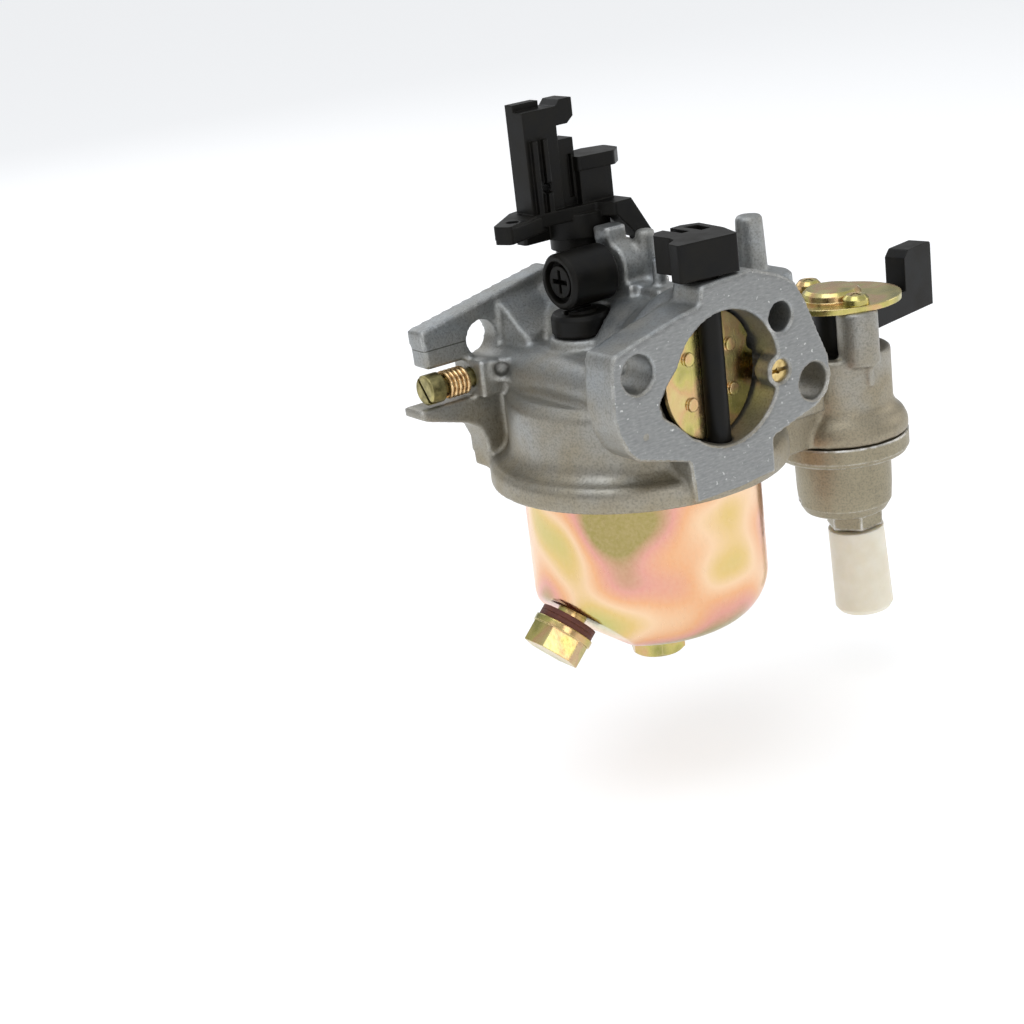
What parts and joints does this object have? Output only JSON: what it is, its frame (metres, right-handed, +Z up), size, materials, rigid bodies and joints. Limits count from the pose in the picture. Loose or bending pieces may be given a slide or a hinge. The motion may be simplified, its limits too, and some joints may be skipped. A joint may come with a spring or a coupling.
{
  "type": "carburetor",
  "caption": "Float-bowl carburetor for a small utility engine, with throttle and choke levers, fuel valve and sediment cup.",
  "frame": {"origin": "centre of the throttle bore on the engine's mounting face", "axes": "+Y out of the engine face along the bore, -Y towards the air cleaner, +Z up with the bowl hanging down, +X to the fuel valve"},
  "size_m": [0.1252, 0.0578, 0.1192],
  "materials": {
    "cast_alloy": "sand-textured die casting, machined faces",
    "yellow_zinc": "iridescent yellow zinc plating",
    "brass": "turned",
    "olive_brass": "dull, dark",
    "spring_bronze": "drawn wire",
    "steel": "turned",
    "rubber": "matt",
    "fibre": "dark red fibre",
    "black_moulding": "fine moulded grain",
    "float_plastic": "smooth",
    "strainer_plastic": "fine mesh",
    "cap_plastic": "translucent, soft"
  },
  "bodies": {
    "casting": {"carburetor_body": "cast_alloy", "body_engine_flange": "cast_alloy", "body_air_flange": "cast_alloy", "body_valve_housing": "cast_alloy", "main_nozzle": "brass", "main_jet": "brass", "main_air_jet": "brass", "pilot_jet": "black_moulding", "pilot_jet_o_ring": "rubber", "needle_seat": "brass", "float_pin": "steel", "float_bowl": "yellow_zinc", "bowl_gasket": "rubber", "bowl_bolt": "yellow_zinc", "bowl_bolt_washer": "fibre", "drain_bolt": "yellow_zinc", "drain_fibre_washer": "fibre", "drain_inner_washer": "fibre", "throttle_seal": "rubber", "valve_seal": "rubber", "valve_wave_washer": "steel", "fuel_valve_cover": "yellow_zinc", "fuel_valve_screws": "yellow_zinc", "sediment_cup": "cast_alloy", "sediment_o_ring": "rubber", "fuel_strainer": "strainer_plastic", "fuel_inlet_pipe": "brass"},
    "throttle": {"throttle_shaft": "steel", "throttle_plate": "brass", "throttle_plate_screw": "steel", "throttle_lever": "black_moulding"},
    "choke": {"choke_shaft": "black_moulding", "choke_plate": "yellow_zinc"},
    "fuel_lever": {"fuel_valve_lever": "black_moulding"},
    "float": {"float": "float_plastic"},
    "needle": {"float_needle": "steel"},
    "idle_spring": {"idle_screw_spring": "steel"},
    "idle_screw": {"idle_speed_screw": "black_moulding"},
    "mixture_spring": {"mixture_spring": "spring_bronze"},
    "mixture_screw": {"mixture_screw": "olive_brass"},
    "cap": {"inlet_cap": "cap_plastic"}
  },
  "joints": [
    {"name": "throttle_turn", "type": "hinge", "parent": "casting", "child": "throttle", "pos_m": [0, -0.011, 0], "axis": [0, 0, 1], "range_deg": [0, 72]},
    {"name": "choke_turn", "type": "hinge", "parent": "casting", "child": "choke", "pos_m": [0, -0.0475, 0], "axis": [0, 0, 1], "range_deg": [-8, 70]},
    {"name": "fuel_lever_turn", "type": "hinge", "parent": "casting", "child": "fuel_lever", "pos_m": [0.0552, -0.021, 0], "axis": [0, 0, 1], "range_deg": [-66, 10]},
    {"name": "float_swing", "type": "hinge", "parent": "casting", "child": "float", "pos_m": [0, -0.005, -0.0192], "axis": [-1, 0, 0], "range_deg": [0, 7]},
    {"name": "needle_lift", "type": "slide", "parent": "casting", "child": "needle", "axis": [0, 0, 1], "range_m": [0, 0.001]},
    {"name": "idle_advance", "type": "slide", "parent": "casting", "child": "idle_spring", "axis": [1, 0, 0], "range_m": [-0.00074, 0.00074]},
    {"name": "idle_turn", "type": "hinge", "parent": "idle_spring", "child": "idle_screw", "pos_m": [0, -0.021, 0.0167], "axis": [1, 0, 0], "range_deg": [-600, 600]},
    {"name": "mixture_advance", "type": "slide", "parent": "casting", "child": "mixture_spring", "axis": [1, 0, 0], "range_m": [-0.00074, 0.00074]},
    {"name": "mixture_turn", "type": "hinge", "parent": "mixture_spring", "child": "mixture_screw", "pos_m": [0, -0.005, -0.001], "axis": [1, 0, 0], "range_deg": [-600, 600]},
    {"name": "cap_pull", "type": "slide", "parent": "casting", "child": "cap", "axis": [0.0379, -0.025, -0.999], "range_m": [0, 0.016]}
  ],
  "couplings": [
    {"joint": "needle_lift", "follows": "float_swing", "m_per_rad": 0.0065},
    {"joint": "idle_turn", "follows": "idle_advance", "rad_per_m": 12566},
    {"joint": "mixture_turn", "follows": "mixture_advance", "rad_per_m": 12566}
  ]
}
